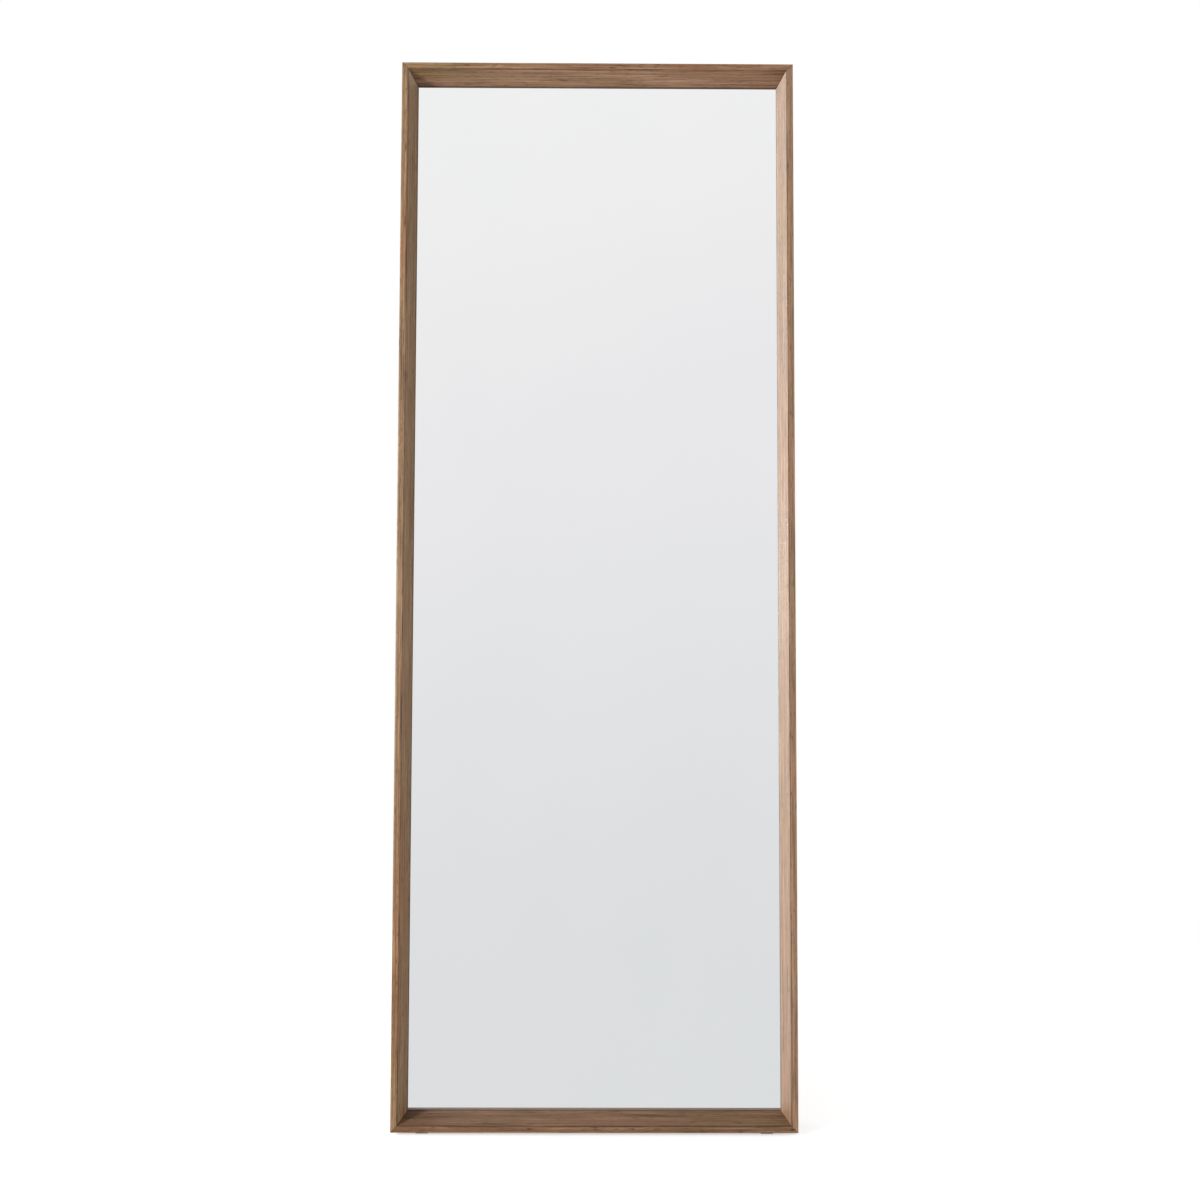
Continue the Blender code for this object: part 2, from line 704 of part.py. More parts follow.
def build_legs(stand):
    """Legs with level ends and a blind mortise for each rail's tenon."""
    foot = FOOT_PAD_THICKNESS + GAP
    outline = [
        (LEG_FRONT, -STAND_TOP_DROP),
        (LEG_BACK, -STAND_TOP_DROP),
        (LEG_BACK, level_in_stand(LEG_BACK, foot)),
        (LEG_FRONT, level_in_stand(LEG_FRONT, foot)),
    ]
    inner = LEG_X - LEG_WIDTH / 2
    for side, sign in SIDES.items():
        name = f"{side}_leg"
        bm = bmesh.new()
        add_prism(bm, outline, lambda p, end: (sign * LEG_X + LEG_WIDTH * (end - 0.5), *p))
        bmesh.ops.bevel(bm, geom=bm.edges[:], offset=STAND_EDGE, segments=1, affect="EDGES")
        mortises = bmesh.new()
        for _, middle, height in stand_rails():
            half = height / 2 - TENON_SHOULDER + GAP
            corners = mirrored_box(
                inner - STAND_EDGE, inner + TENON_LENGTH + GAP,
                LEG_FRONT + TENON_SHOULDER - GAP, LEG_BACK - TENON_SHOULDER + GAP,
                middle - half, middle + half, sign,
            )
            add_box(mortises, *corners)
        mesh = combine(to_mesh(bm, name), mortises, "DIFFERENCE")
        add_object(name, shade(mesh), STAND_WOOD, stand)


def tenoned_rail(name, middle, height):
    """A rail between the legs with its long edges chamfered and a stub tenon at each end."""
    shoulder = LEG_X - LEG_WIDTH / 2 - GAP
    bm = bmesh.new()
    add_box(bm, (-shoulder, LEG_FRONT, middle - height / 2), (shoulder, LEG_BACK, middle + height / 2))
    long_edges = [e for e in bm.edges if abs(e.verts[0].co.x - e.verts[1].co.x) > shoulder]
    bmesh.ops.bevel(bm, geom=long_edges, offset=STAND_EDGE, segments=1, affect="EDGES")
    tenons = bmesh.new()
    reach, half = shoulder + TENON_LENGTH, height / 2 - TENON_SHOULDER
    low = (-reach, LEG_FRONT + TENON_SHOULDER, middle - half)
    add_box(tenons, low, (reach, LEG_BACK - TENON_SHOULDER, middle + half))
    return combine(to_mesh(bm, name), tenons, "UNION")


def rear_plate_places():
    y = STRAP_STAND_Y - STRAP_THICKNESS / 2 - GAP - PLATE_THICKNESS
    return {
        f"rear_plate_screw_{side}": at(sign * PLATE_SCREW_X, y, -MID_RAIL_DROP, TO_FRONT)
        for side, sign in SIDES.items()
    }


def build_stand_rails(stand):
    for name, middle, height in stand_rails():
        mesh = tenoned_rail(name, middle, height)
        if name == "stand_top_rail":
            for side in SIDES:
                places = leaf_screw_places("moving_leaf", side, -1)
                mesh = bore_for_screws(mesh, LEAF_SCREW, places.values())
        if name == "stand_mid_rail":
            mesh = bore_for_screws(mesh, PLATE_SCREW, rear_plate_places().values())
        add_object(name, shade(mesh), STAND_WOOD, stand)


def build_foot_pads(stand):
    """Rubber pads with level undersides below the legs."""
    front, back = LEG_FRONT + FOOT_PAD_INSET, LEG_BACK - FOOT_PAD_INSET
    outline = [
        (front, level_in_stand(front, FOOT_PAD_THICKNESS)),
        (back, level_in_stand(back, FOOT_PAD_THICKNESS)),
        (back, level_in_stand(back, 0)),
        (front, level_in_stand(front, 0)),
    ]
    width = LEG_WIDTH - 2 * FOOT_PAD_INSET
    for side, sign in SIDES.items():
        name = f"{side}_foot_pad"
        bm = bmesh.new()
        add_prism(bm, outline, lambda p, end: (sign * LEG_X + width * (end - 0.5), *p))
        uprights = [e for e in bm.edges if e.calc_length() < 1.5 * FOOT_PAD_THICKNESS]
        bmesh.ops.bevel(bm, geom=uprights, offset=FOOT_PAD_CORNER, segments=2, affect="EDGES")
        add_object(name, shade(to_mesh(bm, name)), RUBBER, stand)


# ---- strap and clamp plates ----

def stand_in_board():
    return PIN_FRAME @ Matrix.Rotation(OPENING, 4, "X")


def strap_path():
    """Middle line of the taut strap as (y, z) points: down the rail, across, and down the stand's rail."""
    half_tab = STRAP_TAB / 2

    def on_stand(z):
        point = stand_in_board() @ Vector((0, STRAP_STAND_Y, z))
        return Vector((point.y, point.z))

    corners = [
        Vector((STRAP_Y, STRAP_RAIL_Z + half_tab)),
        Vector((STRAP_Y, STRAP_RAIL_Z - half_tab - STRAP_BEND)),
        on_stand(half_tab + STRAP_BEND - MID_RAIL_DROP),
        on_stand(-half_tab - MID_RAIL_DROP),
    ]
    path = [corners[0]]
    for before, corner, after in zip(corners, corners[1:], corners[2:]):
        path += arc_through(before, corner, after, STRAP_BEND, 2 * ARC_STEPS)
    return [*path, corners[-1]]


def add_ribbon(bm, path):
    """A flat strap along a path of (y, z) points, lying across X."""
    rows = []
    for i, point in enumerate(path):
        along = path[min(i + 1, len(path) - 1)] - path[max(i - 1, 0)]
        side = Vector((-along.y, along.x)).normalized() * STRAP_THICKNESS / 2
        edges = [(x, point + offset) for x, offset in ((-1, side), (1, side), (1, -side), (-1, -side))]
        rows.append([bm.verts.new((x * STRAP_WIDTH / 2, p.x, p.y)) for x, p in edges])
    for row, following in zip(rows, rows[1:]):
        for i in range(4):
            j = (i + 1) % 4
            bm.faces.new((row[i], row[j], following[j], following[i]))
    bm.faces.new(rows[0])
    bm.faces.new(rows[-1])


def build_strap(board):
    bm = bmesh.new()
    add_ribbon(bm, strap_path())
    mesh = bore_for_screws(to_mesh(bm, "stay_strap"), PLATE_SCREW, front_plate_places().values())
    rear = moved(rear_plate_places(), stand_in_board())
    mesh = bore_for_screws(mesh, PLATE_SCREW, rear.values())
    add_object("stay_strap", shade(mesh), WEBBING, board)


def plate_mesh(name, y0, middle, places):
    """A clamp plate with rounded corners and two countersunk holes."""
    half = Vector((PLATE_WIDTH, PLATE_HEIGHT)) / 2
    bm = bmesh.new()
    low = (-half.x, y0, middle - half.y)
    add_box(bm, low, (half.x, y0 + PLATE_THICKNESS, middle + half.y))
    corners = [e for e in bm.edges if abs(e.verts[0].co.y - e.verts[1].co.y) > PLATE_THICKNESS / 2]
    bmesh.ops.bevel(bm, geom=corners, offset=PLATE_CORNER, segments=ARC_STEPS, affect="EDGES")
    return shade(bore_for_screws(to_mesh(bm, name), PLATE_SCREW, places.values()))


def build_plates(board, stand):
    """Steel plates that clamp the strap's ends to the strap rail and the stand's middle rail."""
    screw = screw_mesh("plate_screw", PLATE_SCREW)
    front_y = STRAP_Y + STRAP_THICKNESS / 2 + GAP
    front = plate_mesh("front_clamp_plate", front_y, STRAP_RAIL_Z, front_plate_places())
    add_object("front_clamp_plate", front, STEEL, board)
    add_screws(screw, front_plate_places(), board)
    rear_y = STRAP_STAND_Y - STRAP_THICKNESS / 2 - GAP - PLATE_THICKNESS
    rear = plate_mesh("rear_clamp_plate", rear_y, -MID_RAIL_DROP, rear_plate_places())
    add_object("rear_clamp_plate", rear, STEEL, stand)
    add_screws(screw, rear_plate_places(), stand)


# ---- assembly ----

def centre_over_origin(board):
    """Slides the whole mirror along Y until its depth is centred over the origin."""
    bpy.context.view_layer.update()
    depths = [
        (obj.matrix_world @ vertex.co).y
        for obj in bpy.context.scene.objects if obj.type == "MESH"
        for vertex in obj.data.vertices
    ]
    board.location.y -= (min(depths) + max(depths)) / 2
    bpy.context.view_layer.update()


def build():
    clear_scene()
    board = add_empty("board", (0, 0, FRONT_EDGE_HEIGHT), -LEAN)
    stand = add_empty("stand_pivot", (0, PIN_Y, HINGE_Z), OPENING, board)
    build_level_members(board)
    build_stiles(board)
    build_splines(board)
    build_glazing(board)
    build_fillets(board)
    build_strap_rail(board)
    build_hinge_rail(board)
    build_leaves(board, "fixed_leaf", 1, 0, PIN_FRAME)
    build_pins(board)
    build_glides(board)
    build_legs(stand)
    build_stand_rails(stand)
    build_leaves(stand, "moving_leaf", -1, 1, Matrix.Identity(4))
    build_foot_pads(stand)
    build_strap(board)
    build_plates(board, stand)
    centre_over_origin(board)


build()
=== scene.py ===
"""Looks of the full-length floor mirror: a brown wooden box frame, clear glass and a folding stand.

Everything is in metres in the model's own frame: X to the viewer's right, Y from front to back, Z up.
Places come from the loaded model. Two frames are read from it: the board's, which leans back with the
mirror, and the stand's, which leans the other way.
"""

import math

import bmesh
import bpy
import numpy as np
from mathutils import Matrix, Vector


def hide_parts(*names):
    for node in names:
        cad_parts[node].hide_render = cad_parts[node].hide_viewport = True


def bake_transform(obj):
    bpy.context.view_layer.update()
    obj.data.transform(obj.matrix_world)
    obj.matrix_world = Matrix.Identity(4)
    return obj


MM = 0.001

# Reading a mesh: how near vertices are the same one, and the turn of a sharp edge in radians
WELD = 0.001 * MM
SHARP = 0.1

# Camera
CAMERA_PLACE = (-0.0077, -2.4145, 0.7676)
CAMERA_TURN = (90.528, -0.182, -0.349)
LENS = 45.21
SENSOR = 36.0

# Frame section, as the model has it
FACE_WIDTH = 10.5 * MM
REVEAL_DEPTH = 49 * MM
MEMBERS = ("top_rail", "bottom_rail", "left_stile", "right_stile")

# Frame finish: where a dark streak runs along the face, how far painted shadow reaches from the glass over
# the reveal, each member's gloss, and each member's tint, with painted shade on the bottom rail
FACE_STREAK = 4 * MM
LIP_SHADOW = 2.2 * MM
LIP_SHADOW_FADE = 1.8 * MM
MEMBER_LIP_SHADOW = {"top_rail": 4.6 * MM}
GLOSS = 0.5
MEMBER_GLOSS = {"bottom_rail": 0.12, "top_rail": 0.16, "left_stile": 0.22}
EVEN = (1.0, 1.0, 1.0)
# Colour factors per member: small tints of the wood, and on the bottom rail painted shade, about 30% darker,
# for the dimmer light near the floor
MEMBER_TINTS_AND_PAINTED_SHADE = {
    "top_rail": (0.99, 1.02, 1.10), "bottom_rail": (0.69, 0.70, 0.71),
    "left_stile": (0.93, 1.045, 1.04), "right_stile": (1.0, 1.06, 1.08),
}

# Grain: lines to a metre across it, and what each part adds to the tone
BROAD_LINES = 150
NARROW_LINES = 640
BROAD, NARROW, STREAKS, FIBRE, CLOUD = 0.28, 0.8, 1.05, 0.36, 0.24

# Strap
GAP = 0.3 * MM
STRAP_WIDTH = 30 * MM
STRAP_THICKNESS = 1.4 * MM
STRAP_TAB = 22 * MM
STRAP_BEND = 4 * MM
BEND_STEPS = 12
SELVEDGE = 1.2 * MM
SELVEDGE_LEAST = 0.12
WEFT_PITCH = 2.0 * MM
CHEVRON_WIDTH = 5.0 * MM
CHEVRON_PICKS = 1.5
RELIEF = 0.09 * MM
STRAP_ROW = 0.5 * MM
STRAP_COLUMNS = 48

# Lights: azimuth left of the front, elevation, distance, size, power
KEY_LIGHT = (44, 7, 3.2, 0.30, 89)
SIDE_LIGHT = (-80, -8, 2.5, 1.0, 28)
BACK_LIGHT = (215, 40, 3.0, 1.4, 20)

# Room: how bright its parts are in reflections, and then as soft light
LEFT_WALL = (1.9, 3.6)
DARK_CARD = 0.25
MIRRORED_CEILING = 0.2
FILL = 0.83
GROUND = 0.62
FILL_CEILING = 0.27

# Floor
FLOOR_GLOW = 0.5
FLOOR_RADIUS = 1.7
FLOOR_SOLID = 0.55
FLOOR_SEGMENTS = 96


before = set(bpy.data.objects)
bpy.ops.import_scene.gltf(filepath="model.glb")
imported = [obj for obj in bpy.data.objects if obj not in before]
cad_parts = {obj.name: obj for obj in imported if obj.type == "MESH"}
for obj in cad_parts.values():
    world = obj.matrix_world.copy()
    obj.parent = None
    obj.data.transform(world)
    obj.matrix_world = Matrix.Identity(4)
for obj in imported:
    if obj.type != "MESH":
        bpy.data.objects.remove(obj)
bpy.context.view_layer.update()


# ---- reading the model ----

def vertices_of(*names):
    """Every vertex of the named CAD nodes, one in each row."""
    return np.array([v.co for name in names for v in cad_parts[name].data.vertices])


def axes_of(name):
    """Axes of a flat node: X right, Y along its widest face's normal towards the back, Z up the face."""
    widest = max(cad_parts[name].data.polygons, key=lambda face: face.area)
    back = widest.normal if widest.normal.y > 0 else -widest.normal
    right = Vector((1, 0, 0))
    return Matrix((right, back, right.cross(back))).transposed()


def frame_at(axes, low):
    """The 4x4 frame with these axes, whose origin has the least Y and Z of the points given."""
    local = low @ np.array(axes)
    origin = axes @ Vector((0, local[:, 1].min(), local[:, 2].min()))
    return Matrix.Translation(origin) @ axes.to_4x4()


def box_in(place, *names):
    """Lowest and highest corners of nodes, measured in the frame given."""
    points = vertices_of(*names)
    local = np.column_stack([points, np.ones(len(points))]) @ np.array(place.inverted()).T
    return Vector(local[:, :3].min(0)), Vector(local[:, :3].max(0))


def long_axis(name):
    """Direction of a node's longest sharp edge, which runs along its grain."""
    bm = bmesh.new()
    bm.from_mesh(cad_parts[name].data)
    bmesh.ops.remove_doubles(bm, verts=bm.verts, dist=WELD)
    sharp = [edge for edge in bm.edges if edge.is_manifold and edge.calc_face_angle(0) > SHARP]
    longest = max(sharp, key=lambda edge: edge.calc_length())
    direction = (longest.verts[1].co - longest.verts[0].co).normalized()
    bm.free()
    return direction


BOARD = frame_at(axes_of("mirror_glass"), vertices_of(*MEMBERS))
STAND = frame_at(axes_of("rear_clamp_plate"), vertices_of("rear_clamp_plate"))
BOARD_LOW, BOARD_HIGH = box_in(BOARD, *MEMBERS)


# ---- node graphs ----

class Graph:
    """Nodes of a material, group or world. Inputs go by name or number, each a socket or a value."""

    def __init__(self, tree):
        self.tree = tree
        tree.nodes.clear()

    def add(self, kind, inputs, outlet=0, **settings):
        node = self.tree.nodes.new("ShaderNode" + kind)
        for name, value in settings.items():
            setattr(node, name, value)
        for key, value in inputs.items():
            if isinstance(value, bpy.types.NodeSocket):
                self.tree.links.new(value, node.inputs[key])
            else:
                node.inputs[key].default_value = value
        return node.outputs[outlet] if node.outputs else None

    def maths(self, operation, first, second=0.0):
        return self.add("Math", {0: first, 1: second}, operation=operation)

    def scaled(self, vector, scale, shift=(0, 0, 0)):
        inputs = {0: vector, 1: scale, 2: shift}
        return self.add("VectorMath", inputs, operation="MULTIPLY_ADD")

    def noise(self, vector, detail, roughness=0.5):
        inputs = {"Vector": vector, "Scale": 1.0, "Detail": detail, "Roughness": roughness}
        return self.add("TexNoise", inputs)

    def lines(self, value, detail):
        """Noise along one direction only, so that it draws lines across it."""
        inputs = {"W": value, "Scale": 1.0, "Detail": detail, "Roughness": 0.6}
        return self.add("TexNoise", inputs, noise_dimensions="1D")

    def step(self, value, low, high, start=0.0, end=1.0):
        """A smooth step from start to end as value goes from low to high."""
        inputs = {0: value, 1: low, 2: high, 3: start, 4: end}
        return self.add("MapRange", inputs, interpolation_type="SMOOTHSTEP")

    def mix(self, factor, first, second, blend="MIX"):
        inputs = {0: factor, 6: first, 7: second}
        return self.add("Mix", inputs, 2, data_type="RGBA", blend_type=blend)

    def split(self, vector):
        return [self.add("SeparateXYZ", {0: vector}, i) for i in range(3)]

    def position(self):
        return self.add("TexCoord", {}, "Object")

    def turned(self, axes, shift=(0, 0, 0)):
        """Position measured along the columns of a 3x3 matrix, plus a shift."""
        turn = axes.transposed().to_euler("XYZ")
        return self.add("Mapping", {"Vector": self.position(), "Rotation": turn, "Location": shift})

    def edges(self, radius):
        """1 where a sharp edge is nearer than the radius, 0 on flat stretches."""
        rounded = self.add("Bevel", {"Radius": radius}, samples=4)
        true = self.add("NewGeometry", {}, "True Normal")
        same = self.add("VectorMath", {0: rounded, 1: true}, "Value", operation="DOT_PRODUCT")
        return self.step(self.maths("SUBTRACT", 1.0, same), 0.0, 0.16)

    def bump(self, height, distance, strength):
        return self.add("Bump", {"Height": height, "Distance": distance, "Strength": strength})


def colour(red, green, blue):
    return (red, green, blue, 1.0)


def new_graph(name):
    made = bpy.data.materials.new(name)
    made.use_nodes = True
    return made, Graph(made.node_tree)


def finish_material(made, graph, inputs):
    """Ends a material in one Principled shader with the inputs given."""
    shader = graph.add("BsdfPrincipled", inputs)
    graph.add("OutputMaterial", {"Surface": shader})
    return made


def put_on(material, *names):
    """Gives CAD nodes a material."""
    for name in names:
        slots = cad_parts[name].data.materials
        slots.clear()
        slots.append(material)


# ---- wood ----

def grain_group():
    """Straight grain along X of the vector given: tone, pores, drift of tint and fibre, each 0 to 1."""
    tree = bpy.data.node_groups.new("straight_grain", "ShaderNodeTree")
    tree.interface.new_socket("Vector", in_out="INPUT", socket_type="NodeSocketVector")
    outlets = ("Tone", "Pores", "Drift", "Fibre")
    for name in outlets:
        tree.interface.new_socket(name, in_out="OUTPUT", socket_type="NodeSocketFloat")
    graph = Graph(tree)
    given = tree.nodes.new("NodeGroupInput").outputs[0]

    wander = graph.noise(graph.scaled(given, (1.7, 7, 7)), 1.0)
    ripple = graph.noise(graph.scaled(given, (9, 40, 40)), 1.0)
    _, across, deep = graph.split(given)
    ring = graph.maths("ADD", graph.maths("MULTIPLY", across, 0.92), graph.maths("MULTIPLY", deep, 0.39))
    ring = graph.maths("ADD", ring, graph.maths("MULTIPLY", wander, 0.012))
    ring = graph.maths("ADD", ring, graph.maths("MULTIPLY", ripple, 0.0007))
    broad = graph.lines(graph.maths("MULTIPLY", ring, BROAD_LINES), 1.0)
    narrow = graph.lines(graph.maths("MULTIPLY", ring, NARROW_LINES), 2.0)
    streaks = graph.noise(graph.scaled(given, (13, 380, 380), (2, 2, 2)), 2.0)
    fibre = graph.noise(graph.scaled(given, (14, 900, 900)), 2.0)
    drift = graph.noise(graph.scaled(given, (3.2, 26, 26)), 2.0)
    cloud = graph.noise(graph.scaled(given, (7, 60, 60), (5, 5, 5)), 2.0)

    tone = 0.0
    parts = ((broad, BROAD), (narrow, NARROW), (streaks, STREAKS), (fibre, FIBRE), (cloud, CLOUD))
    for part, weight in parts:
        centred = graph.maths("SUBTRACT", part, 0.5)
        tone = graph.maths("ADD", tone, graph.maths("MULTIPLY", centred, weight))
    tone = graph.maths("ADD", tone, 0.5)

    dashes = graph.noise(graph.scaled(given, (75, 1700, 1700)), 1.0)
    early = graph.step(narrow, 0.35, 0.6)
    pores = graph.maths("MULTIPLY", graph.step(dashes, 0.6, 0.7), graph.maths("ADD", 0.35, early))
    flecks = graph.step(graph.noise(graph.scaled(given, (45, 400, 400), (9, 9, 9)), 1.0), 0.66, 0.73)
    pores = graph.maths("MINIMUM", graph.maths("ADD", pores, flecks), 1.0)

    out = tree.nodes.new("NodeGroupOutput")
    for name, value in zip(outlets, (tone, pores, drift, fibre)):
        tree.links.new(value, out.inputs[name])
    return tree


GRAIN = grain_group()


def grain_axes(name):
    """Axes with X along a node's grain."""
    along = long_axis(name)
    side = Vector((1, 0, 0)) if abs(along.x) < 0.5 else Vector((0, 0, 1))
    deep = along.cross(side).normalized()
    return Matrix((along, deep.cross(along), deep)).transposed()


def frame_profile(graph):
    """Over the mitred frame: distance in from the outline, depth from the front, distance to a mitre."""
    axes = BOARD.to_3x3()
    x, depth, up = graph.split(graph.turned(axes, -(axes.transposed() @ BOARD.translation)))
    side = graph.maths("SUBTRACT", BOARD_HIGH.x, graph.maths("ABSOLUTE", x))
    end = graph.maths("MINIMUM", up, graph.maths("SUBTRACT", BOARD_HIGH.z, up))
    mitre = graph.maths("ABSOLUTE", graph.maths("SUBTRACT", side, end))
    return graph.maths("MINIMUM", side, end), depth, mitre


def frame_wear(graph, base, roughness, reach):
    """Worn outer edges, finish gathered dark along the inner edge, a dark streak, dark mitres, and painted
    shadow by the glass.

    The painted shadow darkens the strip of the reveal next to the glass, and reach is its width. It stands
    in for the shade in the gap by the glass. All that lies deeper than that strip is painted as dark: the
    rebate, the frame's back and the rear part of its outer sides.
    """
    inset, depth, mitre = frame_profile(graph)
    patchy = graph.noise(graph.scaled(graph.position(), (60, 60, 60)), 3.0)
    outer = graph.step(graph.maths("MAXIMUM", inset, depth), 0.6 * MM, 2.6 * MM, 1.0, 0.0)
    outer = graph.maths("MULTIPLY", outer, graph.step(patchy, 0.3, 0.65, 0.3, 1.0))
    base = graph.mix(graph.maths("MULTIPLY", outer, 0.16), base, colour(0.52, 0.38, 0.27))
    off_inner = graph.maths("ABSOLUTE", graph.maths("SUBTRACT", inset, FACE_WIDTH))
    inner = graph.step(graph.maths("MAXIMUM", off_inner, depth), 0.8 * MM, 2.0 * MM, 1.0, 0.0)
    gathered = graph.noise(graph.scaled(graph.position(), (14, 14, 14), (3, 3, 3)), 2.0)
    inner = graph.maths("MULTIPLY", inner, graph.step(gathered, 0.44, 0.64, 0.85, 1.6))
    joint = graph.step(mitre, 0.2 * MM, 1.3 * MM, 0.75, 0.0)
    # Painted shadow: the reveal next to the glass and everything deeper is darkened, for the shade in the
    # gap by the glass
    lip_shadow = graph.step(depth, REVEAL_DEPTH - reach - LIP_SHADOW_FADE, REVEAL_DEPTH - reach, 0.0, 1.4)
    off_streak = graph.maths("ABSOLUTE", graph.maths("SUBTRACT", inset, FACE_STREAK))
    streak = graph.step(graph.maths("MAXIMUM", off_streak, depth), 0.4 * MM, 1.8 * MM, 1.0, 0.0)
    streak = graph.maths("MULTIPLY", streak, graph.step(gathered, 0.38, 0.6, 0.5, 0.15))
    dark = joint
    for line in (inner, lip_shadow, streak):
        dark = graph.maths("MAXIMUM", dark, line)
    dark = graph.maths("MULTIPLY", dark, 0.6)
    # One dark colour for the mitre joints, the inner edge line, the streak, and the painted shadow by the
    # glass
    base = graph.mix(dark, base, colour(0.07, 0.04, 0.025))
    return base, graph.maths("SUBTRACT", roughness, graph.maths("MULTIPLY", outer, 0.08))


def wood(node, seed, tones, tints, roughness, lip_shadow, gloss):
    """Wood along one node's grain. tones are its dark, middle and light colours; tints drift over it.

    For a frame member the argument after roughness is the width of the painted shadow by the glass; for any
    other node it is None.
    """
    made, graph = new_graph("wood_" + node)
    place = graph.turned(grain_axes(node), (0.37 * seed, 0.113 * seed, 0.071 * seed))
    group = graph.tree.nodes.new("ShaderNodeGroup")
    group.node_tree = GRAIN
    graph.tree.links.new(place, group.inputs[0])
    tone, pores, drift, fibre = group.outputs
    dark, middle, light = tones
    base = graph.mix(graph.step(tone, 0.18, 0.48), dark, middle)
    base = graph.mix(graph.step(tone, 0.5, 0.84), base, light)
    base = graph.mix(graph.step(drift, 0.42, 0.3), base, tints[0], "MULTIPLY")
    base = graph.mix(graph.step(drift, 0.55, 0.68), base, tints[1], "MULTIPLY")
    base = graph.mix(graph.maths("MULTIPLY", pores, 0.72), base, dark, "MULTIPLY")
    rough = graph.maths("ADD", roughness, graph.maths("MULTIPLY", graph.maths("SUBTRACT", fibre, 0.5), 0.25))
    # Frame members get the painted shadow by the glass along with their wear
    if lip_shadow:
        base, rough = frame_wear(graph, base, rough, lip_shadow)
    else:
        worn = graph.edges(1.2 * MM)
        base = graph.mix(graph.maths("MULTIPLY", worn, 0.3), base, light)
    height = graph.maths("SUBTRACT", graph.maths("MULTIPLY", tone, 0.5), pores)
    return finish_material(made, graph, {
        "Base Color": base,
        "Roughness": rough,
        "Specular IOR Level": gloss,
        "Normal": graph.bump(height, 0.15 * MM, 0.6),
    })


FRAME_TONES = (colour(0.125, 0.060, 0.028), colour(0.280, 0.147, 0.076), colour(0.42, 0.243, 0.137))
STAND_TONES = (colour(0.13, 0.064, 0.030), colour(0.285, 0.156, 0.083), colour(0.42, 0.25, 0.145))
PLAIN_TONES = (colour(0.36, 0.22, 0.11), colour(0.56, 0.39, 0.22), colour(0.68, 0.51, 0.32))
WARM_OLIVE = (colour(1.0, 0.87, 0.80), colour(0.90, 0.96, 0.80))
PALE_TINTS = (colour(1.0, 0.95, 0.90), colour(0.92, 0.90, 0.84))


def finish_wood():
    stand_nodes = [
        "hinge_rail", "left_leg", "right_leg", "stand_top_rail", "stand_mid_rail", "stand_low_rail",
    ]
    plain_nodes = sorted(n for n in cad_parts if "fillet" in n or "spline" in n) + ["strap_rail"]
    groups = (
        (MEMBERS, FRAME_TONES, WARM_OLIVE, 0.46, True),
        (stand_nodes, STAND_TONES, WARM_OLIVE, 0.52, False),
        (plain_nodes, PLAIN_TONES, PALE_TINTS, 0.66, False),
    )
    seed = 0
    for nodes, tones, tints, roughness, framed in groups:
        for node in nodes:
            seed += 1
            # Member tint, with painted shade on the bottom rail
            shades = MEMBER_TINTS_AND_PAINTED_SHADE.get(node, EVEN)
            shaded = [colour(*(shade * part for shade, part in zip(shades, tone))) for tone in tones]
            gloss = MEMBER_GLOSS.get(node, GLOSS)
            # Width of the painted shadow by the glass, for frame members only
            lip_shadow = MEMBER_LIP_SHADOW.get(node, LIP_SHADOW) if framed else None
            put_on(wood(node, seed, shaded, tints, roughness, lip_shadow, gloss), node)


# ---- sheet materials ----

def mirror_material():
    """Silvered glass: a clear reflection with faint smears, and green edges."""
    made, graph = new_graph("silvered_glass")
    place = graph.turned(BOARD.to_3x3())
    smears = graph.noise(graph.scaled(place, (5, 1, 2.2)), 3.0)
    specks = graph.step(graph.noise(graph.scaled(place, (420, 420, 420)), 1.0), 0.76, 0.8)
    normal = graph.add("NewGeometry", {}, "True Normal")
    back = tuple(BOARD.to_3x3().col[1])
    facing = graph.add("VectorMath", {0: normal, 1: back}, "Value", operation="DOT_PRODUCT")
    rim = graph.step(graph.maths("ABSOLUTE", facing), 0.4, 0.8, 1.0, 0.0)
    base = graph.mix(graph.step(smears, 0.35, 0.7), colour(0.93, 0.93, 0.93), colour(0.918, 0.922, 0.924))
    base = graph.mix(graph.maths("MULTIPLY", specks, 0.06), base, colour(0.6, 0.6, 0.6))
    base = graph.mix(rim, base, colour(0.20, 0.42, 0.34))
    rough = graph.step(smears, 0.45, 0.75, 0.0, 0.012)
    return finish_material(made, graph, {"Base Color": base, "Roughness": rough, "Metallic": 1.0})


def hardboard_material():
    """Pressed brown board with fibres and the fine screen print of its rough side."""
    made, graph = new_graph("pressed_hardboard")
    place = graph.turned(BOARD.to_3x3())
    mottle = graph.noise(graph.scaled(place, (22, 22, 22)), 4.0, 0.6)
    fibres = graph.noise(graph.scaled(place, (500, 500, 260)), 3.0, 0.7)
    x, _, z = graph.split(place)
    pitch = math.tau / (1.6 * MM)
    weave = graph.maths(
        "MULTIPLY",
        graph.maths("SINE", graph.maths("MULTIPLY", x, pitch)),
        graph.maths("SINE", graph.maths("MULTIPLY", z, pitch)),
    )
    base = graph.mix(graph.step(mottle, 0.3, 0.7), colour(0.225, 0.126, 0.062), colour(0.262, 0.150, 0.077))
    base = graph.mix(graph.step(fibres, 0.55, 0.74, 0.0, 0.55), base, colour(0.12, 0.065, 0.032))
    base = graph.mix(graph.step(fibres, 0.45, 0.3, 0.0, 0.4), base, colour(0.40, 0.26, 0.15))
    height = graph.maths("ADD", graph.maths("MULTIPLY", weave, 0.25), fibres)
    return finish_material(made, graph, {
        "Base Color": base,
        "Roughness": graph.step(mottle, 0.2, 0.8, 0.62, 0.78),
        "Normal": graph.bump(height, 0.12 * MM, 0.7),
    })


